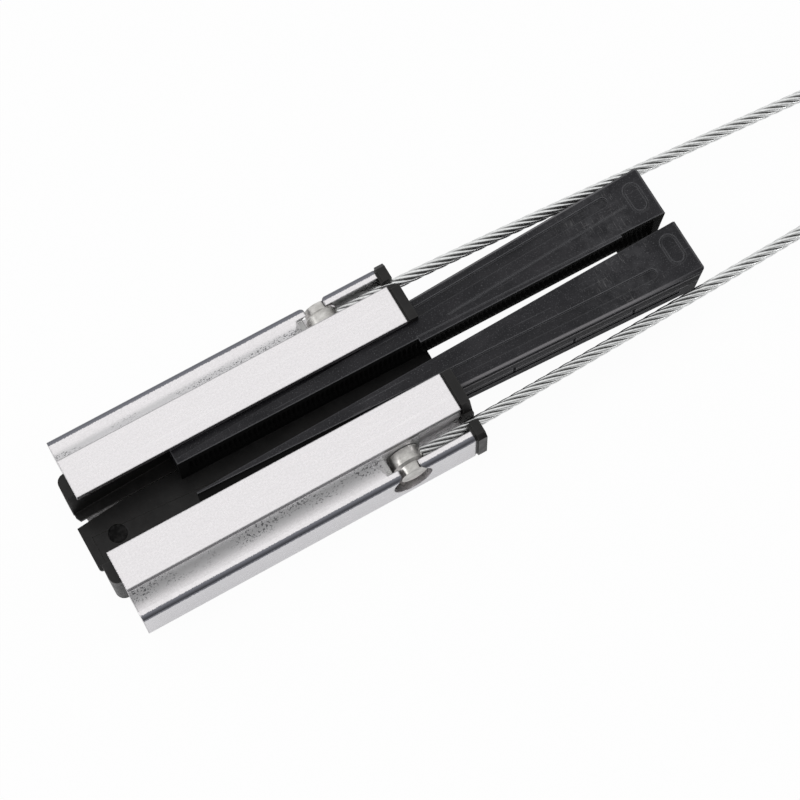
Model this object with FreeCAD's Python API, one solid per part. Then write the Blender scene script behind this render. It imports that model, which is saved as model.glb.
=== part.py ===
import FreeCAD, Part
import math
import os

# Wedge dead-end clamp for an overhead service cable.
# Millimetres. X runs along the rails towards the bail, Z is up, and the origin is the
# centre of the clamp body's flat underside. The two sides are "far" (+Y) and "near" (-Y).

Vector = FreeCAD.Vector

# Clamp body, one extruded and milled piece
body_length = 155.0
body_half_width = 44.0
body_height = 30.0
flange_inner_y = 13.3
flange_outer_y = 31.45
flange_thickness = 3.0
rail_wall_inner_y = 27.2
web_thickness = 3.2
flange_step_height = 2.6
lip_top_z = 22.5
lip_flat_width = 4.4
lip_hollow_depth = 0.9
lip_hollow_lean = 0.35
step_band_lean = 0.3
lip_corner_radius = 2.2
foot_corner_radius = 2.5

# Rope groove and ferrule pocket in each rail
rope_y = 35.5
rope_z = 17.0
groove_inner_y = 31.9
groove_outer_y = 39.3
groove_floor_z = 13.3
groove_cutter_radius = 50.0
groove_cutter_x = 67.0
groove_widening_x = 57.4
groove_widening = 0.5
side_hole_x = 47.7
side_hole_z = 14.7
side_hole_radius = 9.0

# Ferrule, a short barrel that lies across the rope in the side hole
ferrule_radius = 7.3
ferrule_length = 10.2
ferrule_belly_length = 5.6
ferrule_shoulder_length = 1.2
ferrule_end_taper = 0.3
ferrule_seat_gap = 0.3
ferrule_shift = 1.5
ferrule_rise = 1.9

# Bail rope
rope_diameter = 5.0
rope_grip_length = 12.0
bail_points = [
    (88.5, 35.5, 17.0),
    (206.5, 30.9, 11.7),
    (292.0, 26.25, 9.3),
    (305.7, 16.0, 9.3),
    (310.9, 0.0, 9.8),
    (305.7, -16.0, 10.4),
    (292.0, -26.25, 10.65),
    (206.5, -30.9, 14.3),
    (88.5, -35.5, 17.0),
]
bend_share = 0.45

# Guides, one moulding in each rail
guide_wall_y = 23.1
taper_angle = 2.5
guide_overhang = 4.1
guide_end_inset = 0.8
guide_floor_thickness = 1.5
guide_lip_thickness = 1.0
guide_lip_inner_y = 16.0
guide_corner_radius = 4.2
far_floor_overhang = 3.8
far_floor_inner_y = 12.2
far_floor_chamfer = 2.2
near_floor_overhang = 5.5
near_floor_outer_y = 11.4
near_floor_corner_radius = 1.5
near_floor_edge_y = 9.85
near_floor_edge_y_inside = 11.9
near_floor_slant_length = 22.5
floor_pan_depth = 0.3
floor_pan_start_x = -79.3
floor_pan_end_x = 20.0
floor_pan_edge_y = 3.5
floor_pan_edge_y_inside = -3.0
floor_pan_outer_y = 14.0
pin_mark_x = -69.1
pin_mark_y = -0.2
pin_mark_radius = 4.1
pin_mark_depth = 0.4

# Collar at the bail end of each guide
collar_neck_length = 1.1
collar_rim_length = 4.1
collar_neck_inset = 0.8
collar_top_drop = 0.2
collar_foot_gap = 0.6
collar_floor_inner_y = 11.5
collar_shoulder_y = 29.8
collar_wall_foot_y = 32.0
collar_hook_rise = 1.0
collar_overhang = 0.6
collar_chamfer = 2.0
collar_hole_gap = 0.4
collar_slot_width = 2.8
collar_slot_offset = -0.7

# Wedges
wedge_start_x = -34.8
wedge_length = 232.8
wedge_gap = 0.3
wedge_edge_chamfer = 1.1
wedge_corner_radius = 1.6
wedge_end_slope = 2.7
near_wedge_slide = 1.3
near_wedge_play = 1.4

# Clamping side of each wedge; the far one has a lip that stands proud of its main edge
far_edge_y = 3.75
far_edge_angle = 1.45
far_lip_y = 2.95
far_lip_angle = 0.55
far_lip_drop = 0.3
near_edge_y = 2.95
near_edge_angle = 1.45
jaw_step_x = 78.5
jaw_step = 1.85
jaw_end_x = 176.0
jaw_foot_setback = 2.0
jaw_foot_height = 4.0

# Toothed hollow in the clamping side of each wedge
tooth_pitch = 2.3
tooth_depth = 0.8
jaw_depth = 3.5
jaw_edge_depth = 1.2
jaw_lip_height = 2.6
jaw_slope_height = 4.0
jaw_end_margin = 4.2

# Bands on the outer side of each wedge; each groove is a drop below the top and a height
band_grooves = [(1.2, 2.4), (8.0, 0.8), (13.0, 2.6)]
band_groove_depth = 1.4
band_end_margin = 11.5
notch_length = 1.3
notch_pitch = 28.5
notch_count = 3
notch_first_x = 106.6
end_slot_length = 3.2
end_slot_height = 1.6
end_slot_depth = 0.7
end_slot_drop = 9.5
end_foot_length = 10.5
end_foot_height = 2.0
end_foot_width = 6.0

# Marks on the top of each wedge
recess_width = 4.5
recess_depth = 1.0
recess_end_x = 176.8
recess_start_inset = 6.0
far_recess_inset = 6.4
near_recess_inset = 8.0
pad_length = 7.5
pad_width = 14.4
pad_depth = 0.4
pad_rim_width = 0.7
pad_end_margin = 3.9
far_pad_y = 15.8
near_pad_y = 13.7
ridge_start = (95.0, 9.3)
ridge_end = (184.5, 14.5)
ridge_width = 0.7
ridge_height = 0.35

# Values that follow from the sizes above
half_length = body_length / 2
lip_flat_inner_y = body_half_width - lip_flat_width
rail_top_inside_z = body_height - flange_thickness
floor_top_z = web_thickness + guide_floor_thickness
wedge_bottom_z = floor_top_z + wedge_gap
wedge_top_z = rail_top_inside_z - guide_lip_thickness - wedge_gap
wedge_height = wedge_top_z - wedge_bottom_z
wedge_end_x = wedge_start_x + wedge_length
collar_end_x = half_length + collar_neck_length + collar_rim_length
rope_radius = rope_diameter / 2
taper = math.tan(math.radians(taper_angle))
ferrule_x = side_hole_x + ferrule_shift
ferrule_z = side_hole_z + ferrule_rise
ferrule_inner_y = groove_inner_y + ferrule_seat_gap
ferrule_offset = math.hypot(ferrule_shift, ferrule_rise)
ferrule_neck_radius = side_hole_radius - ferrule_offset - ferrule_seat_gap
rope_end_x = ferrule_x + ferrule_radius - rope_grip_length


def guide_wall_at(x):
    return guide_wall_y + taper * (x - half_length)


def wedge_outer_at(x):
    return guide_wall_at(x) - wedge_gap


def spread_at(x, angle):
    return math.tan(math.radians(angle)) * (wedge_end_x - x)


def far_edge_at(x):
    return far_edge_y + spread_at(x, far_edge_angle)


# The line that the teeth follow: the far wedge's lip, and the near wedge's own edge.
def jaw_line_at(x, is_far):
    if is_far:
        return far_lip_y + spread_at(x, far_lip_angle)
    return near_edge_y + spread_at(x, near_edge_angle)


def face_from(points):
    vectors = [Vector(*p) for p in points]
    return Part.Face(Part.makePolygon(vectors + [vectors[0]]))


def block(x0, x1, y0, y1, z0, z1):
    return Part.makeBox(x1 - x0, y1 - y0, z1 - z0, Vector(x0, y0, z0))


def plan_prism(points, z0, z1):
    flat = [(x, y, z0) for x, y in points]
    return face_from(flat).extrude(Vector(0, 0, z1 - z0))


def end_prism(points, x0, x1):
    flat = [(x0, y, z) for y, z in points]
    return face_from(flat).extrude(Vector(x1 - x0, 0, 0))


def mirrored(shape):
    return shape.mirror(Vector(0, 0, 0), Vector(0, 1, 0))


def edges_through(shape, points, tolerance=0.01):
    found = []
    for edge in shape.Edges:
        for point in points:
            if edge.distToShape(Part.Vertex(Vector(*point)))[0] < tolerance:
                found.append(edge)
                break
    return found


def rounded(shape, radius, points):
    return shape.makeFillet(radius, edges_through(shape, points))


# The rail section is drawn for the far side only, from the middle of the web outwards.
def rail_section():
    step_foot = Vector(-half_length, flange_outer_y + step_band_lean,
                       body_height - flange_step_height)
    lip_edge = Vector(-half_length, lip_flat_inner_y, lip_top_z)
    middle = (step_foot + lip_edge) * 0.5 - Vector(0, lip_hollow_lean, 1) * lip_hollow_depth
    hollow = Part.Arc(step_foot, middle, lip_edge).toShape()
    lower = [
        lip_edge,
        Vector(-half_length, body_half_width, lip_top_z),
        Vector(-half_length, body_half_width, 0),
        Vector(-half_length, 0, 0),
        Vector(-half_length, 0, web_thickness),
        Vector(-half_length, rail_wall_inner_y, web_thickness),
        Vector(-half_length, rail_wall_inner_y, rail_top_inside_z),
        Vector(-half_length, flange_inner_y, rail_top_inside_z),
        Vector(-half_length, flange_inner_y, body_height),
        Vector(-half_length, flange_outer_y, body_height),
        step_foot,
    ]
    lines = Part.makePolygon(lower)
    return Part.Face(Part.Wire([hollow] + lines.Edges))


# A disc cutter leaves the groove open at the bail end and runs out in an arc at the other.
def rope_groove():
    centre_z = groove_floor_z + groove_cutter_radius
    open_z = body_height + 1
    reach = math.sqrt(groove_cutter_radius ** 2 - (centre_z - open_z) ** 2)
    turn = math.asin(reach / groove_cutter_radius) / 2
    start = Vector(groove_cutter_x - reach, groove_inner_y, open_z)
    middle = Vector(groove_cutter_x - groove_cutter_radius * math.sin(turn), groove_inner_y,
                    centre_z - groove_cutter_radius * math.cos(turn))
    low = Vector(groove_cutter_x, groove_inner_y, groove_floor_z)
    right_low = Vector(half_length + 1, groove_inner_y, groove_floor_z)
    right_high = Vector(half_length + 1, groove_inner_y, open_z)
    arc = Part.Arc(start, middle, low).toShape()
    lines = Part.makePolygon([low, right_low, right_high, start])
    side = Part.Face(Part.Wire([arc] + lines.Edges))
    groove = side.extrude(Vector(0, groove_outer_y - groove_inner_y, 0))
    widening = block(groove_widening_x, half_length + 1, groove_inner_y - groove_widening,
                     groove_outer_y, groove_floor_z, open_z)
    return groove.fuse(widening)


# The ferrule is put in from the side, through a hole as deep as the groove is wide.
def side_hole():
    return Part.makeCylinder(side_hole_radius, body_half_width + 1 - groove_inner_y,
                             Vector(side_hole_x, groove_inner_y, side_hole_z), Vector(0, 1, 0))


def make_body():
    half = rail_section().extrude(Vector(body_length, 0, 0))
    half = rounded(half, lip_corner_radius, [(0, body_half_width, lip_top_z)])
    half = rounded(half, foot_corner_radius, [(0, body_half_width, 0)])
    half = half.cut(rope_groove()).cut(side_hole())
    return half.fuse(mirrored(half)).removeSplitter()


# The barrel is turned about an axis along Y, and narrows to a flat face on the outer side.
def make_ferrule():
    inner = ferrule_inner_y
    outer = inner + ferrule_length
    profile = [
        (0, inner),
        (ferrule_radius, inner),
        (ferrule_radius, inner + ferrule_belly_length),
        (ferrule_neck_radius, inner + ferrule_belly_length + ferrule_shoulder_length),
        (ferrule_neck_radius - ferrule_end_taper, outer),
        (0, outer),
    ]
    outline = face_from([(ferrule_x + radius, y, ferrule_z) for radius, y in profile])
    barrel = outline.revolve(Vector(ferrule_x, inner, ferrule_z), Vector(0, 1, 0), 360)
    bore = Part.makeCylinder(rope_radius, rope_grip_length + 1, Vector(rope_end_x, rope_y, rope_z),
                             Vector(1, 0, 0))
    return barrel.cut(bore)


# The rope runs straight between its points and turns each one on a tangent arc.
def make_bail():
    first = (rope_end_x, rope_y, rope_z)
    last = (rope_end_x, -rope_y, rope_z)
    points = [Vector(*p) for p in [first] + bail_points + [last]]
    edges = []
    radii = []
    here = points[0]
    for before, corner, after in zip(points, points[1:], points[2:]):
        run_in = corner - before
        run_out = after - corner
        reach = bend_share * min(run_in.Length, run_out.Length)
        half_turn = run_in.getAngle(run_out) / 2
        radius = reach / math.tan(half_turn)
        radii.append(round(radius, 1))
        way_in = Vector(run_in).normalize()
        way_out = Vector(run_out).normalize()
        arc_start = corner - way_in * reach
        arc_end = corner + way_out * reach
        inward = (way_out - way_in).normalize()
        apex = corner + inward * (radius / math.cos(half_turn) - radius)
        edges.append(Part.LineSegment(here, arc_start).toShape())
        edges.append(Part.Arc(arc_start, apex, arc_end).toShape())
        here = arc_end
    edges.append(Part.LineSegment(here, points[-1]).toShape())
    path = Part.Wire(edges)
    ring = Part.Wire(Part.makeCircle(rope_radius, points[0], Vector(1, 0, 0)))
    tube = path.makePipeShell([ring], True, False)
    expected = math.pi * rope_radius ** 2 * path.Length
    print("bail rope length", round(path.Length, 1), "bend radii", radii)
    print("bail rope volume share", round(tube.Volume / expected, 4))
    return tube


# The channel that the wedge slides in, bounded by the tapered wall of the guide.
def wedge_channel(x0, x1):
    plan = [
        (x0, -1.0),
        (x1, -1.0),
        (x1, guide_wall_at(x1)),
        (x0, guide_wall_at(x0)),
    ]
    return plan_prism(plan, floor_top_z, rail_top_inside_z - guide_lip_thickness)


def collar_outline(inset):
    top = body_height - collar_top_drop - inset
    hook_top = lip_top_z + collar_hook_rise - inset
    outer = body_half_width + collar_overhang - inset
    foot = collar_foot_gap + inset
    return [
        (flange_inner_y, top),
        (collar_shoulder_y - inset, top),
        (collar_wall_foot_y - inset, hook_top),
        (outer - collar_chamfer, hook_top),
        (outer, hook_top - collar_chamfer),
        (outer, foot + collar_chamfer),
        (outer - collar_chamfer, foot),
        (collar_floor_inner_y, foot),
        (collar_floor_inner_y, floor_top_z),
        (rail_wall_inner_y - collar_chamfer, floor_top_z),
        (rail_wall_inner_y - collar_chamfer, rail_top_inside_z - guide_lip_thickness),
        (flange_inner_y, rail_top_inside_z - guide_lip_thickness),
    ]


def make_collar():
    neck_end = half_length + collar_neck_length
    neck = end_prism(collar_outline(collar_neck_inset), half_length, neck_end)
    rim = end_prism(collar_outline(0), neck_end, collar_end_x)
    wall = block(half_length, collar_end_x, guide_wall_at(half_length) - 1, rail_wall_inner_y,
                 floor_top_z, rail_top_inside_z - guide_lip_thickness)
    collar = neck.fuse([rim, wall])
    hole_radius = rope_radius + collar_hole_gap
    rope_hole = Part.makeCylinder(hole_radius, collar_end_x, Vector(0, rope_y, rope_z),
                                  Vector(1, 0, 0))
    slot_middle = rope_y + collar_slot_offset
    slot = block(half_length - 1, collar_end_x + 1, slot_middle - collar_slot_width / 2,
                 slot_middle + collar_slot_width / 2, rope_z, body_height)
    return collar.cut(rope_hole).cut(slot).cut(wedge_channel(half_length - 1, collar_end_x + 1))


def far_floor():
    start_x = -half_length - far_floor_overhang
    plan = [
        (start_x, far_floor_inner_y + far_floor_chamfer),
        (start_x + far_floor_chamfer / 2, far_floor_inner_y),
        (half_length, far_floor_inner_y),
        (half_length, rail_wall_inner_y),
        (-half_length, rail_wall_inner_y),
        (-half_length, rail_wall_inner_y - guide_end_inset),
        (start_x, rail_wall_inner_y - guide_end_inset),
    ]
    return plan_prism(plan, web_thickness, floor_top_z)


# The near floor reaches across the middle and out between the two collars, with a
# shallow pan where the wedge slides.
def near_floor():
    start_x = -half_length - near_floor_overhang
    end_x = half_length + collar_neck_length + collar_rim_length
    plan = [
        (start_x, -near_floor_edge_y),
        (start_x + near_floor_slant_length, -near_floor_edge_y_inside),
        (half_length, -near_floor_edge_y_inside),
        (half_length, -collar_floor_inner_y),
        (end_x, -collar_floor_inner_y),
        (end_x, collar_floor_inner_y),
        (half_length, collar_floor_inner_y),
        (half_length, rail_wall_inner_y),
        (-half_length, rail_wall_inner_y),
        (-half_length, near_floor_outer_y),
        (start_x, near_floor_outer_y),
    ]
    plate = plan_prism(plan, web_thickness, floor_top_z)
    plate = rounded(plate, near_floor_corner_radius,
                    [(start_x, near_floor_outer_y, web_thickness + guide_floor_thickness / 2)])
    pan_plan = [
        (floor_pan_start_x, -floor_pan_edge_y),
        (floor_pan_end_x, -floor_pan_edge_y_inside),
        (floor_pan_end_x, floor_pan_outer_y),
        (floor_pan_start_x, floor_pan_outer_y),
    ]
    pan = plan_prism(pan_plan, floor_top_z - floor_pan_depth, floor_top_z + 1)
    mark_floor_z = floor_top_z - floor_pan_depth - pin_mark_depth
    mark = Part.makeCylinder(pin_mark_radius, floor_top_z - mark_floor_z,
                             Vector(pin_mark_x, -pin_mark_y, mark_floor_z))
    return plate.cut([pan, mark])


# Both guides are drawn on the far side; the near one is mirrored afterwards.
def make_guide(is_far):
    start_x = -half_length - guide_overhang
    end_y = rail_wall_inner_y - guide_end_inset
    wall_plan = [
        (start_x, guide_wall_at(start_x)),
        (half_length, guide_wall_at(half_length)),
        (half_length, rail_wall_inner_y),
        (-half_length, rail_wall_inner_y),
        (-half_length, end_y),
        (start_x, end_y),
    ]
    wall = plan_prism(wall_plan, web_thickness, rail_top_inside_z)
    lip_plan = [
        (start_x, guide_lip_inner_y),
        (half_length, guide_lip_inner_y),
        (half_length, rail_wall_inner_y),
        (-half_length, rail_wall_inner_y),
        (-half_length, end_y),
        (start_x, end_y),
    ]
    lip = plan_prism(lip_plan, rail_top_inside_z - guide_lip_thickness, rail_top_inside_z)
    upper = wall.fuse(lip).removeSplitter()
    upper = rounded(upper, min(guide_corner_radius, guide_overhang - 0.1),
                    [(start_x, end_y, (web_thickness + rail_top_inside_z) / 2)])
    floor = far_floor() if is_far else near_floor()
    guide = upper.fuse([floor, make_collar()]).removeSplitter()
    return guide if is_far else mirrored(guide)


# One prism cuts a straight run of teeth; its outline zigzags in plan along the jaw.
def tooth_cutter(is_far, depth, z, rise, inward):
    start_x = wedge_start_x + jaw_end_margin
    run = wedge_length - 2 * jaw_end_margin
    count = int(run / tooth_pitch)
    length = count * tooth_pitch
    angle = -math.radians(far_lip_angle if is_far else near_edge_angle)
    along = Vector(math.cos(angle), math.sin(angle), 0)
    across = Vector(-math.sin(angle), math.cos(angle), 0)
    base = Vector(start_x, jaw_line_at(start_x, is_far), z)
    open_side = -near_edge_y
    corners = [(0, open_side), (0, depth - tooth_depth)]
    for number in range(count):
        left = number * tooth_pitch
        corners.append((left + tooth_pitch / 2, depth))
        corners.append((left + tooth_pitch, depth - tooth_depth))
    corners.append((length, open_side))
    vectors = [base + along * u + across * v for u, v in corners]
    outline = Part.Face(Part.makePolygon(vectors + [vectors[0]]))
    return outline.extrude(Vector(0, 0, rise) - across * inward)


def jaw_hollow(is_far):
    low = wedge_bottom_z + jaw_lip_height
    high = wedge_top_z - jaw_lip_height
    flat_low = low + jaw_slope_height
    flat_high = high - jaw_slope_height
    slope = jaw_depth - jaw_edge_depth
    middle = tooth_cutter(is_far, jaw_depth, flat_low, flat_high - flat_low, 0)
    upper = tooth_cutter(is_far, jaw_depth, flat_high, jaw_slope_height, slope)
    lower = tooth_cutter(is_far, jaw_depth, flat_low, -jaw_slope_height, slope)
    return [middle, upper, lower]


# A box laid along the wedge's tapered outer side, sunk into it by the given depth.
def outer_slot(x0, x1, z0, z1, depth):
    length = (x1 - x0) / math.cos(math.radians(taper_angle))
    slot = Part.makeBox(length, depth + 5, z1 - z0)
    slot.translate(Vector(0, -depth, 0))
    slot.rotate(Vector(0, 0, 0), Vector(0, 0, 1), taper_angle)
    slot.translate(Vector(x0, wedge_outer_at(x0), z0))
    return slot


def side_bands():
    cuts = []
    end_x = wedge_end_x - band_end_margin
    for drop, height in band_grooves:
        z1 = wedge_top_z - drop
        cuts.append(outer_slot(wedge_start_x - 1, end_x, z1 - height, z1, band_groove_depth))
    notch_top = wedge_top_z - band_grooves[1][0]
    notch_bottom = wedge_top_z - band_grooves[2][0]
    for number in range(notch_count):
        x0 = notch_first_x + number * notch_pitch
        cuts.append(outer_slot(x0, x0 + notch_length, notch_bottom, notch_top, band_groove_depth))
    return cuts


def rounded_slot(x0, x1, y0, y1, width, z0, z1):
    along = Vector(x1 - x0, y1 - y0, 0)
    length = along.Length
    slot = block(0, length, -width / 2, width / 2, z0, z1)
    ends = [Part.makeCylinder(width / 2, z1 - z0, Vector(x, 0, z0)) for x in (0, length)]
    slot = slot.fuse(ends)
    slot.rotate(Vector(0, 0, 0), Vector(0, 0, 1), math.degrees(math.atan2(y1 - y0, x1 - x0)))
    slot.translate(Vector(x0, y0, 0))
    return slot


# The recess runs out through the wedge's narrow end.
def top_recess(end_inset):
    start_x = wedge_start_x - recess_width
    start_y = wedge_outer_at(start_x) - recess_start_inset
    end_y = wedge_outer_at(recess_end_x) - end_inset
    return rounded_slot(start_x, recess_end_x, start_y, end_y, recess_width,
                        wedge_top_z - recess_depth, wedge_top_z + 1)


def top_pad(middle_y):
    x = wedge_end_x - pad_end_margin - pad_length / 2
    reach = (pad_width - pad_length) / 2
    low = wedge_top_z - pad_depth
    outer = rounded_slot(x, x, middle_y - reach, middle_y + reach, pad_length, low, wedge_top_z + 1)
    inner = rounded_slot(x, x, middle_y - reach, middle_y + reach, pad_length - 2 * pad_rim_width,
                         low - 1, wedge_top_z + 2)
    return outer.cut(inner)


def top_ridge():
    return rounded_slot(ridge_start[0], ridge_end[0], ridge_start[1], ridge_end[1], ridge_width,
                        wedge_top_z - 0.5, wedge_top_z + ridge_height)


# Corners of the clamping side in plan, from the wide end back to the narrow one.
def clamping_side(is_far):
    if not is_far:
        return [(wedge_end_x, near_edge_y), (wedge_start_x, jaw_line_at(wedge_start_x, False))]
    step_y = jaw_line_at(jaw_step_x, True)
    return [
        (wedge_end_x, far_edge_y),
        (jaw_end_x, far_edge_at(jaw_end_x)),
        (jaw_end_x, jaw_line_at(jaw_end_x, True)),
        (jaw_step_x, step_y),
        (jaw_step_x, step_y + jaw_step),
        (wedge_start_x, jaw_line_at(wedge_start_x, True) + jaw_step),
    ]


# The wide end leans in towards the bottom, so the blank is cut before its corners are rounded.
def wedge_blank(is_far):
    plan = clamping_side(is_far)
    plan.append((wedge_start_x, wedge_outer_at(wedge_start_x)))
    plan.append((wedge_end_x, wedge_outer_at(wedge_end_x)))
    blank = plan_prism(plan, wedge_bottom_z, wedge_top_z)
    low_z = wedge_bottom_z - 1
    low_x = wedge_end_x - wedge_end_slope * (wedge_top_z - low_z) / wedge_height
    lean = face_from([
        (wedge_end_x, -1, wedge_top_z),
        (wedge_end_x + 1, -1, wedge_top_z),
        (wedge_end_x + 1, -1, low_z),
        (low_x, -1, low_z),
    ])
    blank = blank.cut(lean.extrude(Vector(0, body_half_width, 0)))
    middle_z = (wedge_bottom_z + wedge_top_z) / 2
    lean_x = wedge_end_x - wedge_end_slope / 2
    blank = rounded(blank, wedge_corner_radius, [(lean_x, wedge_outer_at(lean_x), middle_z)])
    middle_x = (wedge_start_x + wedge_end_x) / 2
    outer_edges = edges_through(blank, [
        (middle_x, wedge_outer_at(middle_x), wedge_top_z),
        (middle_x, wedge_outer_at(middle_x), wedge_bottom_z),
    ])
    return blank.makeChamfer(wedge_edge_chamfer, outer_edges)


# The foot of the clamping side stands back from the lip above the teeth.
def jaw_foot(is_far):
    start_x = wedge_start_x - 1
    plan = [
        (start_x, jaw_line_at(start_x, is_far) + jaw_foot_setback),
        (jaw_end_x, jaw_line_at(jaw_end_x, is_far) + jaw_foot_setback),
        (jaw_end_x, -near_edge_y),
        (start_x, -near_edge_y),
    ]
    return plan_prism(plan, wedge_bottom_z - 1, wedge_bottom_z + jaw_foot_height)


def lip_drop():
    plan = [
        (jaw_step_x, far_edge_at(jaw_step_x)),
        (jaw_end_x, far_edge_at(jaw_end_x)),
        (jaw_end_x, 0),
        (jaw_step_x, 0),
    ]
    return plan_prism(plan, wedge_top_z - far_lip_drop, wedge_top_z + 1)


def make_wedge(is_far):
    wedge = wedge_blank(is_far)
    foot_end = wedge_end_x - wedge_end_slope - wedge_corner_radius
    foot_outer = wedge_outer_at(foot_end - end_foot_length) - wedge_corner_radius
    foot = block(foot_end - end_foot_length, foot_end, foot_outer - end_foot_width, foot_outer,
                 wedge_bottom_z - end_foot_height, wedge_bottom_z + 1)
    wedge = wedge.fuse(foot)
    cuts = jaw_hollow(is_far) + side_bands()
    slot_x = wedge_end_x - (band_end_margin + end_slot_length) / 2
    slot_top = wedge_top_z - end_slot_drop
    cuts.append(outer_slot(slot_x, slot_x + end_slot_length, slot_top - end_slot_height, slot_top,
                           end_slot_depth))
    cuts.append(jaw_foot(is_far))
    cuts.append(top_recess(far_recess_inset if is_far else near_recess_inset))
    cuts.append(top_pad(far_pad_y if is_far else near_pad_y))
    if is_far:
        return wedge.cut(cuts + [lip_drop()]).fuse(top_ridge()).removeSplitter()
    wedge = wedge.cut(cuts)
    wedge = mirrored(wedge.removeSplitter())
    wedge.translate(Vector(near_wedge_slide, near_wedge_play - taper * near_wedge_slide, 0))
    return wedge


def save(name, shape):
    solid = shape.Solids[0]
    if len(shape.Solids) != 1 or not solid.isValid():
        print("check", name, "solids", len(shape.Solids), "valid", solid.isValid())
    box = solid.BoundBox
    print(name, "volume", round(solid.Volume), "faces", len(solid.Faces),
          "x", round(box.XMin, 1), round(box.XMax, 1), "y", round(box.YMin, 1), round(box.YMax, 1),
          "z", round(box.ZMin, 1), round(box.ZMax, 1))
    solid.exportStep("parts/" + name + ".step")


os.makedirs("parts", exist_ok=True)
ferrule = make_ferrule()
save("clamp_body", make_body())
save("guide_far", make_guide(True))
save("guide_near", make_guide(False))
save("wedge_far", make_wedge(True))
save("wedge_near", make_wedge(False))
save("ferrule_far", ferrule)
save("ferrule_near", mirrored(ferrule))
save("bail_rope", make_bail())
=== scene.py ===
import bpy
import bmesh
import math
from mathutils import Matrix, Vector, kdtree


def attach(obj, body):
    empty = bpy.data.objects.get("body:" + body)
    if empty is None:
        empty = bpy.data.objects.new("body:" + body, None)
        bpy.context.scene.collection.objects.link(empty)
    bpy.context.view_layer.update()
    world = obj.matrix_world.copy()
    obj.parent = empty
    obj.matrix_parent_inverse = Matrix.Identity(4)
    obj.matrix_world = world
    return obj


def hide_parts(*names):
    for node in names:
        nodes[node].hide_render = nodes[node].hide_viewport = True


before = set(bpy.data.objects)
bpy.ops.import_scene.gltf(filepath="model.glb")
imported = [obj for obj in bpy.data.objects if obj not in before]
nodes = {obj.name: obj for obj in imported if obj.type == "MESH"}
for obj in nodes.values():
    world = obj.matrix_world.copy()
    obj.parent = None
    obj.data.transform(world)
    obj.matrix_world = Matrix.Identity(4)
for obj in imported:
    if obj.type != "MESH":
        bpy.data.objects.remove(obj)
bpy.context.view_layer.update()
mm = 0.001
bevelSamples = 6
print("clamp frame loaded")


def newMaterial(name):
    material = bpy.data.materials.new(name)
    material.use_nodes = True
    tree = material.node_tree
    return material, tree, tree.nodes["Principled BSDF"]


def addNode(tree, kind, **sockets):
    # sockets are written with underscores where Blender's names have spaces
    node = tree.nodes.new(kind)
    for name, value in sockets.items():
        key = name.replace("_", " ")
        if key in node.inputs:
            node.inputs[key].default_value = value
        else:
            setattr(node, name, value)
    return node


def stretchedNoise(tree, scale, stretch=(1, 1, 1), detail=4, roughness=0.5, distortion=0.0):
    # noise on the piece's own place, drawn out along the axes with small stretch values
    place = tree.nodes.new("ShaderNodeTexCoord")
    mapping = addNode(tree, "ShaderNodeMapping", Scale=stretch)
    texture = addNode(tree, "ShaderNodeTexNoise", Scale=scale, Detail=detail, Roughness=roughness,
                      Distortion=distortion)
    tree.links.new(place.outputs["Object"], mapping.inputs["Vector"])
    tree.links.new(mapping.outputs["Vector"], texture.inputs["Vector"])
    return texture.outputs["Fac"]


def ramp(tree, value, stops):
    node = tree.nodes.new("ShaderNodeValToRGB")
    while len(node.color_ramp.elements) < len(stops):
        node.color_ramp.elements.new(0.5)
    for element, (position, level) in zip(node.color_ramp.elements, stops):
        element.position = position
        element.color = (level, level, level, 1) if isinstance(level, (int, float)) else (*level, 1)
    tree.links.new(value, node.inputs["Fac"])
    return node.outputs["Color"]


def maths(tree, operation, a, b=0.0):
    node = tree.nodes.new("ShaderNodeMath")
    node.operation = operation
    for socket, value in zip(node.inputs, (a, b)):
        if isinstance(value, (int, float)):
            socket.default_value = value
        else:
            tree.links.new(value, socket)
    return node.outputs["Value"]


def product(tree, first, *others):
    for other in others:
        first = maths(tree, "MULTIPLY", first, other)
    return first


def mixColours(tree, factor, a, b):
    node = tree.nodes.new("ShaderNodeMix")
    node.data_type = "RGBA"
    for socket, value in ((node.inputs[0], factor), (node.inputs[6], a), (node.inputs[7], b)):
        if isinstance(value, tuple):
            socket.default_value = (*value, 1)
        elif isinstance(value, (int, float)):
            socket.default_value = value
        else:
            tree.links.new(value, socket)
    return node.outputs[2]


def placeParts(tree):
    place = tree.nodes.new("ShaderNodeTexCoord")
    split = tree.nodes.new("ShaderNodeSeparateXYZ")
    tree.links.new(place.outputs["Object"], split.inputs["Vector"])
    return split.outputs["X"], split.outputs["Y"], split.outputs["Z"]


def fade(tree, value, start, end, startLevel, endLevel):
    node = tree.nodes.new("ShaderNodeMapRange")
    node.interpolation_type = "SMOOTHSTEP"
    node.inputs["From Min"].default_value = start
    node.inputs["From Max"].default_value = end
    node.inputs["To Min"].default_value = startLevel
    node.inputs["To Max"].default_value = endLevel
    tree.links.new(value, node.inputs["Value"])
    return node.outputs["Result"]


def between(tree, value, low, high, soft):
    # 1 inside low..high, falling to 0 over the soft width outside
    return product(tree, fade(tree, value, low - soft, low, 0, 1), fade(tree, value, high, high + soft, 1, 0))


def roundedNormal(tree, radius):
    node = addNode(tree, "ShaderNodeBevel", Radius=radius)
    node.samples = bevelSamples
    return node.outputs["Normal"]


def edgeMask(tree, radius):
    # 1 along the edges and 0 on the faces, from how far the rounded normal leaves the true one
    shape = tree.nodes.new("ShaderNodeNewGeometry")
    lean = tree.nodes.new("ShaderNodeVectorMath")
    lean.operation = "DOT_PRODUCT"
    tree.links.new(roundedNormal(tree, radius), lean.inputs[0])
    tree.links.new(shape.outputs["Normal"], lean.inputs[1])
    return ramp(tree, lean.outputs["Value"], [(0.90, 1), (0.995, 0)])


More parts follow.
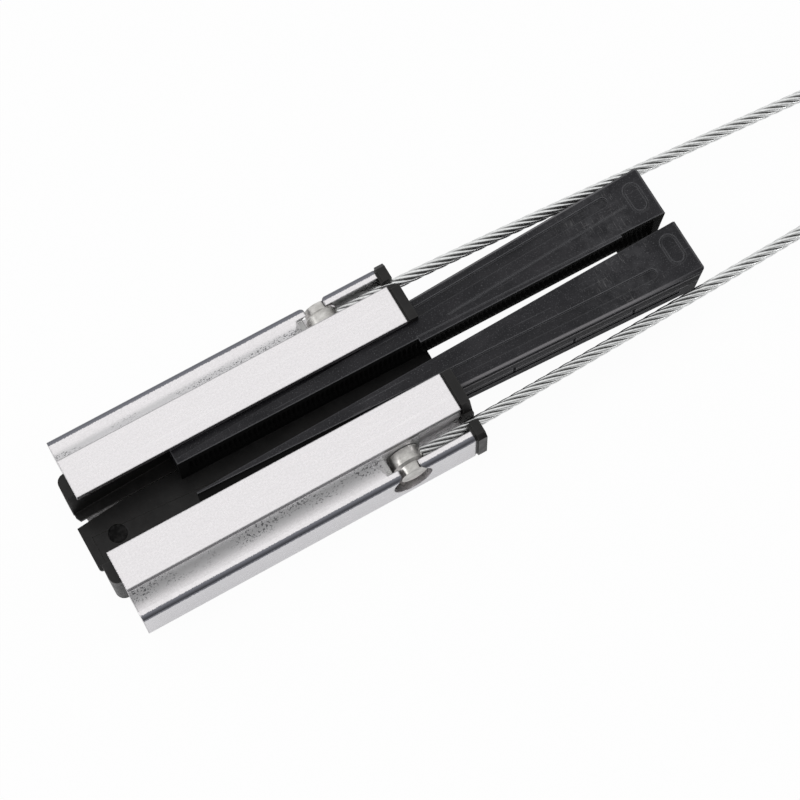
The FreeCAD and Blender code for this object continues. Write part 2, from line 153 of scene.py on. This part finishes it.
def bump(tree, height, strength, distance, under=None):
    node = addNode(tree, "ShaderNodeBump", Strength=strength, Distance=distance)
    tree.links.new(height, node.inputs["Height"])
    if under is not None:
        tree.links.new(under, node.inputs["Normal"])
    return node.outputs["Normal"]


def finishNode(name, material):
    piece = nodes[name]
    piece.data.materials.clear()
    piece.data.materials.append(material)


# camera: the photograph's own place and turn
camera = {
    "place": (-90.63 * mm, -313.58 * mm, 981.25 * mm),
    "right": (0.87087, -0.49118, -0.01816),
    "up": (0.46895, 0.81925, 0.33002),
    "lens": 110.0,
    "sensorWidth": 36,
    "clipStart": 0.01,
}


def makeCamera(values):
    data = bpy.data.cameras.new("camera")
    data.lens = values["lens"]
    data.sensor_width = values["sensorWidth"]
    data.clip_start = values["clipStart"]
    eye = bpy.data.objects.new("camera", data)
    bpy.context.scene.collection.objects.link(eye)
    right = Vector(values["right"]).normalized()
    up = Vector(values["up"])
    up = (up - right * up.dot(right)).normalized()
    back = right.cross(up)
    turn = Matrix((right, up, back)).transposed()
    eye.matrix_world = Matrix.Translation(Vector(values["place"])) @ turn.to_4x4()
    bpy.context.scene.camera = eye


makeCamera(camera)
print("camera placed")


# bail rope: six strands laid right-handed round a core, on the part's own route
rope = {
    "diameter": 5.0 * mm,
    "crownRadius": 2.6 * mm,
    "strands": 6,
    "strandRadius": 0.83 * mm,
    "strandSides": 16,
    "layLength": 36.6 * mm,
    "startTurn": 0.3,
    "step": 1.5 * mm,
    "coreRadius": 0.95 * mm,
    "coreSides": 8,
    "weldGap": 0.001 * mm,
    "grooveReach": 1.0 * mm,
    "route": [
        (44.5, 35.5, 17.0), (58.5, 35.5, 17.0), (88.5, 35.5, 17.0), (206.5, 30.9, 11.7),
        (274.9, 27.2, 9.8), (292.0, 26.25, 9.3), (305.7, 16.0, 9.3), (310.8, 0.0, 9.8),
        (305.7, -16.0, 10.4), (292.0, -26.25, 10.65), (274.9, -27.2, 11.4), (206.5, -30.9, 14.3),
        (88.5, -35.5, 17.0), (58.5, -35.5, 17.0), (44.5, -35.5, 17.0),
    ],
}
steel = {
    "colour": (0.93, 0.94, 0.94),
    "stained": (0.74, 0.75, 0.74),
    "groove": (0.30, 0.30, 0.30),
    "roughness": 0.26,
    "wiresAround": 9,
    "wireTurns": 36,
    "wireDepth": 0.09 * mm,
    "wireStrength": 0.14,
}


def splineObject(name, kind, points):
    # a curve object through the points, straight-sided for POLY and smooth for NURBS
    data = bpy.data.curves.new(name, "CURVE")
    data.dimensions = "3D"
    spline = data.splines.new(kind)
    spline.points.add(len(points) - 1)
    for target, point in zip(spline.points, points):
        target.co = (*point, 1)
    if kind == "NURBS":
        spline.order_u = 3
        spline.use_endpoint_u = True
        data.resolution_u = 40
    made = bpy.data.objects.new(name, data)
    bpy.context.scene.collection.objects.link(made)
    return made


def readPoints(curveObject):
    bpy.context.view_layer.update()
    graph = bpy.context.evaluated_depsgraph_get()
    mesh = bpy.data.meshes.new_from_object(curveObject.evaluated_get(graph))
    points = [v.co.copy() for v in mesh.vertices]
    bpy.data.meshes.remove(mesh)
    return points


def evenPoints(points, step):
    # the same line with its points spaced evenly, for the strands to follow
    lengths = [0.0]
    for a, b in zip(points, points[1:]):
        lengths.append(lengths[-1] + (b - a).length)
    count = round(lengths[-1] / step)
    made = []
    index = 0
    for number in range(count + 1):
        want = lengths[-1] * number / count
        while index < len(points) - 2 and lengths[index + 1] < want:
            index += 1
        span = max(lengths[index + 1] - lengths[index], 1e-9)
        made.append(points[index].lerp(points[index + 1], (want - lengths[index]) / span))
    return made, lengths[-1]


def sweptTube(name, centres, section):
    # a tube along the centres, made by Blender's curve bevel and closed at its ends
    line = splineObject(name, "POLY", centres)
    line.data.bevel_mode = "OBJECT"
    line.data.bevel_object = section
    line.data.use_fill_caps = True
    bpy.context.view_layer.update()
    graph = bpy.context.evaluated_depsgraph_get()
    mesh = bpy.data.meshes.new_from_object(line.evaluated_get(graph))
    bpy.data.objects.remove(line)
    return mesh


def roundSection(radius, sides):
    points = [Vector((math.cos(k * math.tau / sides), math.sin(k * math.tau / sides), 0)) * radius
              for k in range(sides)]
    section = splineObject("roundSection", "POLY", points)
    section.data.splines[0].use_cyclic_u = True
    return section


def lineFrames(points):
    # a steady pair of side directions at each point of the line
    side = Vector((0, 0, 1))
    frames = []
    for number, point in enumerate(points):
        ahead = points[min(number + 1, len(points) - 1)] - points[max(number - 1, 0)]
        ahead.normalize()
        side = (side - ahead * side.dot(ahead)).normalized()
        frames.append((ahead, side.copy(), ahead.cross(side)))
    return frames


def markGrooves(mesh, line, frames, values):
    # how deep each point lies between the strands, kept on the mesh for the painted shade in the grooves
    finder = kdtree.KDTree(len(line))
    for number, point in enumerate(line):
        finder.insert(point, number)
    finder.balance()
    depth = mesh.attributes.new("grooveDepth", "FLOAT", "POINT")
    for vertex, item in zip(mesh.vertices, depth.data):
        nearest, number, _ = finder.find(vertex.co)
        out = vertex.co - nearest
        out -= frames[number][0] * out.dot(frames[number][0])
        item.value = min(max((values["crownRadius"] - out.length) / values["grooveReach"], 0.0), 1.0)


def makeRope(values):
    route = splineObject("ropeRoute", "NURBS", [Vector(p) * mm for p in values["route"]])
    line, length = evenPoints(readPoints(route), values["step"])
    bpy.data.objects.remove(route)
    frames = lineFrames(line)
    laidRadius = values["crownRadius"] - values["strandRadius"]
    section = roundSection(values["strandRadius"], values["strandSides"])
    bm = bmesh.new()
    for strand in range(values["strands"]):
        centres = []
        for number, point in enumerate(line):
            laid = number * values["step"] / values["layLength"]
            turn = (laid + strand / values["strands"] + values["startTurn"]) * math.tau
            _, side, across = frames[number]
            centres.append(point + (side * math.cos(turn) + across * math.sin(turn)) * laidRadius)
        part = sweptTube("strand", centres, section)
        bm.from_mesh(part)
        bpy.data.meshes.remove(part)
    coreSection = roundSection(values["coreRadius"], values["coreSides"])
    core = sweptTube("core", line, coreSection)
    bm.from_mesh(core)
    bpy.data.meshes.remove(core)
    bpy.data.objects.remove(section)
    bpy.data.objects.remove(coreSection)
    bmesh.ops.remove_doubles(bm, verts=bm.verts, dist=values["weldGap"])
    bmesh.ops.recalc_face_normals(bm, faces=bm.faces)
    mesh = bpy.data.meshes.new("bail_rope_strands")
    bm.to_mesh(mesh)
    bm.free()
    mesh.shade_smooth()
    markGrooves(mesh, line, frames, values)
    made = bpy.data.objects.new("bail_rope_strands", mesh)
    bpy.context.scene.collection.objects.link(made)
    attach(made, "frame")
    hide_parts("bail_rope")
    print("bail rope laid,", round(length / mm), "mm,", len(mesh.polygons), "faces")
    return made


def strandedSteel(values):
    material, tree, shader = newMaterial("strandedSteel")
    shader.inputs["Metallic"].default_value = 1
    shader.inputs["Roughness"].default_value = values["roughness"]
    tone = ramp(tree, stretchedNoise(tree, 900, detail=4),
                [(0.32, values["stained"]), (0.62, values["colour"])])
    # painted shade: the steel's colour is darkened in the grooves between the strands, where shade falls
    depth = addNode(tree, "ShaderNodeAttribute", attribute_name="grooveDepth")
    shade = ramp(tree, depth.outputs["Fac"], [(0.12, 0), (0.75, 1)])
    tone = mixColours(tree, shade, tone, values["groove"])
    tree.links.new(tone, shader.inputs["Base Color"])
    # fine wires: ridges that run round each strand at a slant, on the strand's own UV map
    place = addNode(tree, "ShaderNodeUVMap", uv_map="UVMap")
    split = tree.nodes.new("ShaderNodeSeparateXYZ")
    tree.links.new(place.outputs["UV"], split.inputs["Vector"])
    around = product(tree, split.outputs["X"], values["wiresAround"])
    along = product(tree, split.outputs["Y"], values["wireTurns"] * values["wiresAround"])
    wires = maths(tree, "PINGPONG", maths(tree, "ADD", around, along), 0.5)
    wires = maths(tree, "POWER", product(tree, wires, 2.0), 0.5)
    tree.links.new(bump(tree, wires, values["wireStrength"], values["wireDepth"]), shader.inputs["Normal"])
    return material


bail = makeRope(rope)
bail.data.materials.append(strandedSteel(steel))


# clamp body: bare extruded aluminium, milled grooves greyer, hollow of the lip greyer, with painted shade and
# painted dark reflections on its outer face, step, edges and lip corner
bodyFinish = {
    "colour": (0.92, 0.895, 0.91),
    "dull": (0.82, 0.80, 0.81),
    "scuff": (0.95, 0.93, 0.94),
    "milled": (0.70, 0.70, 0.70),
    "hollowGrey": (0.74, 0.74, 0.75),
    "paintedEdgeShade": (0.24, 0.24, 0.25),
    "speck": (0.10, 0.10, 0.11),
    "corner": (0.13, 0.135, 0.16),
    "side": (0.74, 0.73, 0.75),
    "roughness": 0.27,
    "edgeRadius": 0.45 * mm,
    "hollowRoughness": 0.42,
    "edgeWidth": 0.9 * mm,
    # where each zone lies: its distance to the side, then its height or its place along x
    "sideFrom": 43.9 * mm,
    "hollowSides": (31.7 * mm, 34.6 * mm),
    "hollowHeights": (18 * mm, 27.2 * mm),
    "hollowSoft": 3.4 * mm,
    "hollowEnd": 57 * mm,
    "cornerSides": (41.7 * mm, 43.8 * mm),
    "cornerHeights": (20.9 * mm, 23 * mm),
    "cornerRagged": 1.6 * mm,
    "stepSides": (31.1 * mm, 31.9 * mm),
    "stepHeights": (28.0 * mm, 29.8 * mm),
    "grooveSides": (31.6 * mm, 39.4 * mm),
    "grooveHeights": (5 * mm, 22.2 * mm),
    "grooveStart": 30 * mm,
    # how strongly each mark covers the metal
    "lineShare": 0.5,
    "hollowGreyShare": 0.75,
    "speckShare": 0.9,
    "cornerShare": 0.93,
    "stepShare": 0.8,
    "edgeShadeShare": 0.75,
}


def aluminiumExtrusion(values):
    material, tree, shader = newMaterial("extrudedAluminium")
    shader.inputs["Metallic"].default_value = 1
    x, y, z = placeParts(tree)
    side = maths(tree, "ABSOLUTE", y)
    mottled = ramp(tree, stretchedNoise(tree, 1300, (0.85, 1, 1), detail=6, roughness=0.8),
                   [(0.42, 0), (0.58, 1)])
    base = mixColours(tree, mottled, values["dull"], values["colour"])
    lines = ramp(tree, stretchedNoise(tree, 800, (0.012, 1, 1), detail=3), [(0.60, 0), (0.72, 1)])
    base = mixColours(tree, product(tree, lines, values["lineShare"]), base, values["scuff"])
    grit = stretchedNoise(tree, 2400, (0.8, 1, 1), detail=3, roughness=0.7)
    # outer face: painted shade, darker than the tops
    outer = between(tree, side, values["sideFrom"], 1, 0.2 * mm)
    base = mixColours(tree, outer, base, values["side"])
    # hollow between flange and lip: greyer, with clusters of dark specks
    hollow = product(tree, between(tree, side, *values["hollowSides"], values["hollowSoft"]),
                     between(tree, z, *values["hollowHeights"], 0.2 * mm),
                     between(tree, x, -1, values["hollowEnd"], 0.3 * mm))
    base = mixColours(tree, product(tree, hollow, values["hollowGreyShare"]), base, values["hollowGrey"])
    cluster = ramp(tree, stretchedNoise(tree, 130, (0.5, 1, 1), detail=3), [(0.38, 0), (0.55, 1)])
    specks = ramp(tree, stretchedNoise(tree, 1250, (0.85, 1, 1), detail=3, roughness=0.6),
                  [(0.55, 0), (0.61, 1)])
    specks = product(tree, specks, cluster, hollow, values["speckShare"])
    base = mixColours(tree, specks, base, values["speck"])
    # painted dark reflection along the outer top corner of the lip, ragged along its sides
    shift = product(tree, maths(tree, "SUBTRACT", grit, 0.5), values["cornerRagged"])
    corner = product(tree, between(tree, maths(tree, "ADD", side, shift), *values["cornerSides"], 0.35 * mm),
                     between(tree, z, *values["cornerHeights"], 0.2 * mm), values["cornerShare"])
    base = mixColours(tree, corner, base, values["corner"])
    # painted shade along the step under the flange's outer edge
    step = product(tree, between(tree, side, *values["stepSides"], 0.1 * mm),
                   between(tree, z, *values["stepHeights"], 0.4 * mm), values["stepShare"])
    base = mixColours(tree, step, base, values["paintedEdgeShade"])
    # milled walls of the rope groove
    groove = product(tree, between(tree, side, *values["grooveSides"], 0.1 * mm),
                     between(tree, x, values["grooveStart"], 1, 0.1 * mm),
                     between(tree, z, *values["grooveHeights"], 0.1 * mm))
    base = mixColours(tree, groove, base, values["milled"])
    # edges: painted dark reflection of the rounded edges, broken up by noise
    shadeBreakup = ramp(tree, stretchedNoise(tree, 1400, (0.7, 1, 1), detail=3), [(0.36, 0.25), (0.60, 1)])
    edge = product(tree, edgeMask(tree, values["edgeWidth"]), shadeBreakup, values["edgeShadeShare"])
    base = mixColours(tree, edge, base, values["paintedEdgeShade"])
    tree.links.new(base, shader.inputs["Base Color"])
    rough = ramp(tree, stretchedNoise(tree, 500, (0.2, 1, 1), detail=5),
                 [(0.3, values["roughness"] - 0.05), (0.7, values["roughness"] + 0.08)])
    rough = mixColours(tree, hollow, rough, (values["hollowRoughness"],) * 3)
    tree.links.new(rough, shader.inputs["Roughness"])
    drawn = stretchedNoise(tree, 1100, (0.012, 1, 1), detail=3)
    normal = bump(tree, drawn, 0.2, 0.04 * mm, roundedNormal(tree, values["edgeRadius"]))
    normal = bump(tree, grit, 0.14, 0.03 * mm, normal)
    tree.links.new(normal, shader.inputs["Normal"])
    return material


finishNode("clamp_body", aluminiumExtrusion(bodyFinish))
print("body finished")


# guides and wedges: black moulded plastic
guideFinish = {
    "colour": (0.009, 0.0085, 0.0085),
    "wornAndSheen": (0.05, 0.048, 0.046),
    "gloss": 0.30,
    "roughness": 0.38,
    "edgeRadius": 0.35 * mm,
    "pinPlace": (-69.1 * mm, -0.2 * mm),
    "pinRadius": 4.1 * mm,
    "pinDark": (0.0015, 0.0015, 0.0015),
    "pinRoughness": 0.9,
    "edgeWidth": 0.7 * mm,
    "cloudShare": 0.25,
    "dustShare": 0.35,
    "edgeShare": 0.6,
}
wedgeFinish = {
    "colour": (0.006, 0.006, 0.0085),
    "cloud": (0.024, 0.023, 0.027),
    "wornAndSheen": (0.15, 0.15, 0.16),
    "scuff": (0.34, 0.33, 0.33),
    "jaw": (0.0015, 0.0015, 0.0015),
    "gloss": 0.25,
    "roughness": 0.32,
    "sideRoughness": 0.62,
    "jawRoughness": 0.95,
    "edgeRadius": 0.45 * mm,
    "edgeWidth": 0.9 * mm,
    "topFrom": 24.6 * mm,
    "scuffAlong": (168 * mm, 181 * mm),
    # rounded rim and ribs of the outer side, measured from the line |y| = outerLine + taperSlope * x
    "outerLine": {"far": 19.42 * mm, "near": 18.02 * mm},
    "taperSlope": 0.04366,
    "paintedCrestHighlight": (-1.0 * mm, -0.4 * mm),
    "crestAlong": (95 * mm, 160 * mm),
    "crestFade": 40 * mm,
    "ribHeights": [(21.2 * mm, 21.9 * mm), (14.8 * mm, 15.5 * mm)],
    "ribDepth": 1.8 * mm,
    "paintedHighlight": (0.30, 0.29, 0.30),
    "rimShare": {"far": 0.30, "near": 0.85},
    "ribShare": 0.55,
    "dustShare": 0.6,
    "lineShare": 0.25,
    "hazeShare": 0.24,
    "scuffShare": 0.32,
    "jawDepth": 4.3 * mm,
    "jawTop": 24.9 * mm,
}
# where each wedge's toothed edge runs: its side, its y at x = 0 and its slope along x
jawLines = {"far": (1, 4.85 * mm, -0.0096), "near": (-1, 7.96 * mm, -0.02531)}


def guidePlastic(values):
    material, tree, shader = newMaterial("guidePlastic")
    shader.inputs["Specular IOR Level"].default_value = values["gloss"]
    cloud = ramp(tree, stretchedNoise(tree, 90, detail=6, roughness=0.7), [(0.45, 0), (0.75, 1)])
    dust = ramp(tree, stretchedNoise(tree, 2200, detail=2), [(0.66, 0), (0.72, 1)])
    # pale cloud and dust on the plastic, with a painted highlight along every edge
    rubbedAndSheen = maths(tree, "ADD", product(tree, cloud, values["cloudShare"]),
                   product(tree, dust, values["dustShare"]))
    edge = product(tree, edgeMask(tree, values["edgeWidth"]), values["edgeShare"])
    rubbedAndSheen = maths(tree, "MAXIMUM", rubbedAndSheen, edge)
    base = mixColours(tree, rubbedAndSheen, values["colour"], values["wornAndSheen"])
    # dull round mark that the moulding pin leaves in the near floor
    away = [maths(tree, "POWER", maths(tree, "SUBTRACT", part, middle), 2.0)
            for part, middle in zip(placeParts(tree)[:2], values["pinPlace"])]
    away = maths(tree, "SQRT", maths(tree, "ADD", *away))
    blotch = ramp(tree, stretchedNoise(tree, 600, detail=4), [(0.35, 0.45), (0.60, 1)])
    pin = product(tree, between(tree, away, -1, values["pinRadius"], 0.2 * mm), blotch)
    tree.links.new(mixColours(tree, pin, base, values["pinDark"]), shader.inputs["Base Color"])
    rough = ramp(tree, stretchedNoise(tree, 300, detail=4),
                 [(0.3, values["roughness"] - 0.06), (0.7, values["roughness"] + 0.08)])
    tree.links.new(mixColours(tree, pin, rough, (values["pinRoughness"],) * 3), shader.inputs["Roughness"])
    normal = bump(tree, stretchedNoise(tree, 2500, detail=2), 0.2, 0.03 * mm,
                  roundedNormal(tree, values["edgeRadius"]))
    tree.links.new(normal, shader.inputs["Normal"])
    return material


def wedgePlastic(values, side):
    material, tree, shader = newMaterial("wedgePlastic")
    shader.inputs["Specular IOR Level"].default_value = values["gloss"]
    x, y, z = placeParts(tree)
    top = between(tree, z, values["topFrom"], 40 * mm, 0.3 * mm)
    # uneven black with pale dust and fine lines, and a painted highlight along the edges
    cloud = ramp(tree, stretchedNoise(tree, 70, (0.5, 1, 1), detail=7, roughness=0.7), [(0.40, 0), (0.70, 1)])
    base = mixColours(tree, product(tree, cloud, top), values["colour"], values["cloud"])
    dust = ramp(tree, stretchedNoise(tree, 1900, detail=3, roughness=0.65), [(0.60, 0), (0.67, 1)])
    lines = ramp(tree, stretchedNoise(tree, 900, (0.03, 1, 1), detail=4, distortion=0.4),
                 [(0.64, 0), (0.70, 1)])
    rubbedAndSheen = maths(tree, "ADD", product(tree, dust, values["dustShare"]),
                   product(tree, lines, values["lineShare"]))
    rubbedAndSheen = product(tree, rubbedAndSheen, top)
    # painted highlight: edges that turn towards the near side are painted pale, the others stay dull
    lean = tree.nodes.new("ShaderNodeSeparateXYZ")
    tree.links.new(roundedNormal(tree, values["edgeWidth"]), lean.inputs[0])
    paintedCatchLight = ramp(tree, maths(tree, "ADD", product(tree, lean.outputs["Y"], -0.5), 0.5),
                  [(0.35, 0.25), (0.60, 0.9)])
    rubbedAndSheen = maths(tree, "MAXIMUM", rubbedAndSheen, product(tree, edgeMask(tree, values["edgeWidth"]), paintedCatchLight))
    base = mixColours(tree, rubbedAndSheen, base, values["wornAndSheen"])
    # painted highlight along the crest of the rounded rim on the outer side of the top
    outer = maths(tree, "ADD", product(tree, x, values["taperSlope"]), values["outerLine"][side])
    rim = maths(tree, "SUBTRACT", maths(tree, "ABSOLUTE", y), outer)
    along = between(tree, x, *values["crestAlong"], values["crestFade"])
    paintedCrestHighlight = between(tree, rim, *values["paintedCrestHighlight"], 0.2 * mm)
    paintedCrestHighlight = product(tree, paintedCrestHighlight, along, top, values["rimShare"][side])
    base = mixColours(tree, paintedCrestHighlight, base, values["paintedHighlight"])
    # painted highlights along the ribs of the outer side
    ribHighlights = [between(tree, z, *heights, 0.25 * mm) for heights in values["ribHeights"]]
    ribHighlights = product(tree, maths(tree, "MAXIMUM", *ribHighlights),
                   between(tree, rim, -values["ribDepth"], 1, 0.2 * mm), values["ribShare"])
    base = mixColours(tree, ribHighlights, base, values["paintedHighlight"])
    # haze and crossed scratches towards the wide end, short of the oval
    scuffFrom, scuffTo = values["scuffAlong"]
    zone = product(tree, between(tree, x, scuffFrom, 1, 34 * mm), between(tree, x, 0.0, scuffTo, 5 * mm), top)
    haze = ramp(tree, stretchedNoise(tree, 160, detail=6, roughness=0.7), [(0.40, 0), (0.72, 1)])
    base = mixColours(tree, product(tree, haze, zone, values["hazeShare"]), base, values["wornAndSheen"])
    across = ramp(tree, stretchedNoise(tree, 3600, (0.8, 0.05, 1), detail=1), [(0.64, 0), (0.74, 1)])
    lengthways = ramp(tree, stretchedNoise(tree, 3200, (0.05, 0.8, 1), detail=1), [(0.66, 0), (0.76, 1)])
    scratches = maths(tree, "MAXIMUM", across, product(tree, lengthways, 0.7))
    patch = ramp(tree, stretchedNoise(tree, 110, detail=3), [(0.42, 0), (0.58, 1)])
    scuffed = product(tree, scratches, patch, zone, values["scuffShare"])
    base = mixColours(tree, scuffed, base, values["scuff"])
    # toothed side: matt, and darkened with painted shade, as it lies in the shade of the gap
    facing, offset, slope = jawLines[side]
    edge = maths(tree, "ADD", product(tree, x, slope), offset)
    inward = maths(tree, "SUBTRACT", product(tree, y, facing), edge)
    jaw = product(tree, between(tree, inward, -1, values["jawDepth"], 0.4 * mm),
                  between(tree, z, 0.0, values["jawTop"], 0.3 * mm))
    base = mixColours(tree, jaw, base, values["jaw"])
    tree.links.new(base, shader.inputs["Base Color"])
    rough = ramp(tree, stretchedNoise(tree, 220, (0.3, 1, 1), detail=6),
                 [(0.3, values["roughness"] - 0.06), (0.72, values["roughness"] + 0.14)])
    rough = mixColours(tree, top, (values["sideRoughness"],) * 3, rough)
    rough = mixColours(tree, jaw, rough, (values["jawRoughness"],) * 3)
    tree.links.new(rough, shader.inputs["Roughness"])
    normal = bump(tree, stretchedNoise(tree, 1500, (0.4, 1, 1), detail=3), 0.2, 0.03 * mm,
                  roundedNormal(tree, values["edgeRadius"]))
    tree.links.new(normal, shader.inputs["Normal"])
    return material


blackGuide = guidePlastic(guideFinish)
for side in ("far", "near"):
    finishNode("guide_" + side, blackGuide)
    finishNode("wedge_" + side, wedgePlastic(wedgeFinish, side))
print("guides and wedges finished")


# ferrules: pressed barrels, dull and mottled
ferruleFinish = {"dark": (0.40, 0.39, 0.37), "light": (0.78, 0.765, 0.74), "roughness": 0.36}


def pressedBarrel(values):
    material, tree, shader = newMaterial("pressedBarrel")
    shader.inputs["Metallic"].default_value = 1
    tone = ramp(tree, stretchedNoise(tree, 350, (0.6, 1, 1), detail=6, roughness=0.65),
                [(0.3, values["dark"]), (0.7, values["light"])])
    tree.links.new(tone, shader.inputs["Base Color"])
    shader.inputs["Roughness"].default_value = values["roughness"]
    dents = bump(tree, stretchedNoise(tree, 180, (0.5, 1, 1), detail=3), 0.5, 0.3 * mm)
    grain = bump(tree, stretchedNoise(tree, 1500, (1, 1, 1), detail=2), 0.3, 0.04 * mm, dents)
    tree.links.new(grain, shader.inputs["Normal"])
    return material


barrel = pressedBarrel(ferruleFinish)
for side in ("far", "near"):
    finishNode("ferrule_" + side, barrel)
    nodes["ferrule_" + side].data.shade_smooth()
print("ferrules finished")


# floor, lamps and world
studio = {
    "floorSize": 6.0,
    "floorTone": (0.93, 0.93, 0.94),
    "floorSeen": 0.96,
    "floorMirrored": 0.50,
    "floorDrop": 0.05 * mm,
    "floorRoughness": 0.9,
    "skyAim": (0.0, 0.5, 0.866),
    "skyStart": -0.3,
    "lampAim": (0.06, 0, 0),
    "sky": [(0.0, 0.20), (0.25, 0.32), (0.5, 0.46), (0.70, 0.62), (0.86, 0.90), (1.0, 0.95)],
    "lamps": [
        {"name": "left", "place": (-1.3, 0.2, 0.8), "size": 0.5, "power": 3.0},
        {"name": "right", "place": (1.3, -0.5, 0.7), "size": 0.5, "power": 2.0},
    ],
}


def makeFloor(values):
    bm = bmesh.new()
    bmesh.ops.create_grid(bm, x_segments=1, y_segments=1, size=values["floorSize"] / 2)
    bmesh.ops.translate(bm, verts=bm.verts, vec=(0, 0, -values["floorDrop"]))
    mesh = bpy.data.meshes.new("floor")
    bm.to_mesh(mesh)
    bm.free()
    floor = bpy.data.objects.new("floor", mesh)
    bpy.context.scene.collection.objects.link(floor)
    material, tree, shader = newMaterial("paleFloor")
    shader.inputs["Base Color"].default_value = (*values["floorTone"], 1)
    shader.inputs["Roughness"].default_value = values["floorRoughness"]
    glow = addNode(tree, "ShaderNodeEmission", Color=(1, 1, 1, 1), Strength=1.0)
    rays = tree.nodes.new("ShaderNodeLightPath")
    mirrored = maths(tree, "MAXIMUM", rays.outputs["Is Glossy Ray"], rays.outputs["Is Transmission Ray"])
    share = maths(tree, "ADD", product(tree, mirrored, values["floorMirrored"]),
                  product(tree, rays.outputs["Is Camera Ray"], values["floorSeen"]))
    mix = tree.nodes.new("ShaderNodeMixShader")
    tree.links.new(share, mix.inputs["Fac"])
    tree.links.new(shader.outputs["BSDF"], mix.inputs[1])
    tree.links.new(glow.outputs["Emission"], mix.inputs[2])
    tree.links.new(mix.outputs["Shader"], tree.nodes["Material Output"].inputs["Surface"])
    mesh.materials.append(material)


def makeWorld(values):
    world = bpy.data.worlds.new("paleRoom")
    bpy.context.scene.world = world
    world.use_nodes = True
    tree = world.node_tree
    background = tree.nodes["Background"]
    # bright above and behind the clamp, dim low down on the camera's side
    place = tree.nodes.new("ShaderNodeTexCoord")
    aim = tree.nodes.new("ShaderNodeVectorMath")
    aim.operation = "DOT_PRODUCT"
    aim.inputs[1].default_value = values["skyAim"]
    tree.links.new(place.outputs["Generated"], aim.inputs[0])
    height = addNode(tree, "ShaderNodeMapRange")
    height.inputs["From Min"].default_value = values["skyStart"]
    tree.links.new(aim.outputs["Value"], height.inputs["Value"])
    level = ramp(tree, height.outputs["Result"], values["sky"])
    rays = tree.nodes.new("ShaderNodeLightPath")
    shown = mixColours(tree, rays.outputs["Is Camera Ray"], level, (1.0, 1.0, 1.0))
    tree.links.new(shown, background.inputs["Color"])
    background.inputs["Strength"].default_value = 1.0


def makeLamps(values):
    for lamp in values["lamps"]:
        data = bpy.data.lights.new(lamp["name"], "AREA")
        data.shape = "DISK"
        data.size = lamp["size"]
        data.energy = lamp["power"]
        made = bpy.data.objects.new(lamp["name"], data)
        bpy.context.scene.collection.objects.link(made)
        made.location = lamp["place"]
        towards = Vector(values["lampAim"]) - made.location
        made.rotation_euler = towards.to_track_quat("-Z", "Y").to_euler()


makeFloor(studio)
makeWorld(studio)
makeLamps(studio)
bpy.context.scene.view_settings.view_transform = "Standard"
print("studio lit")
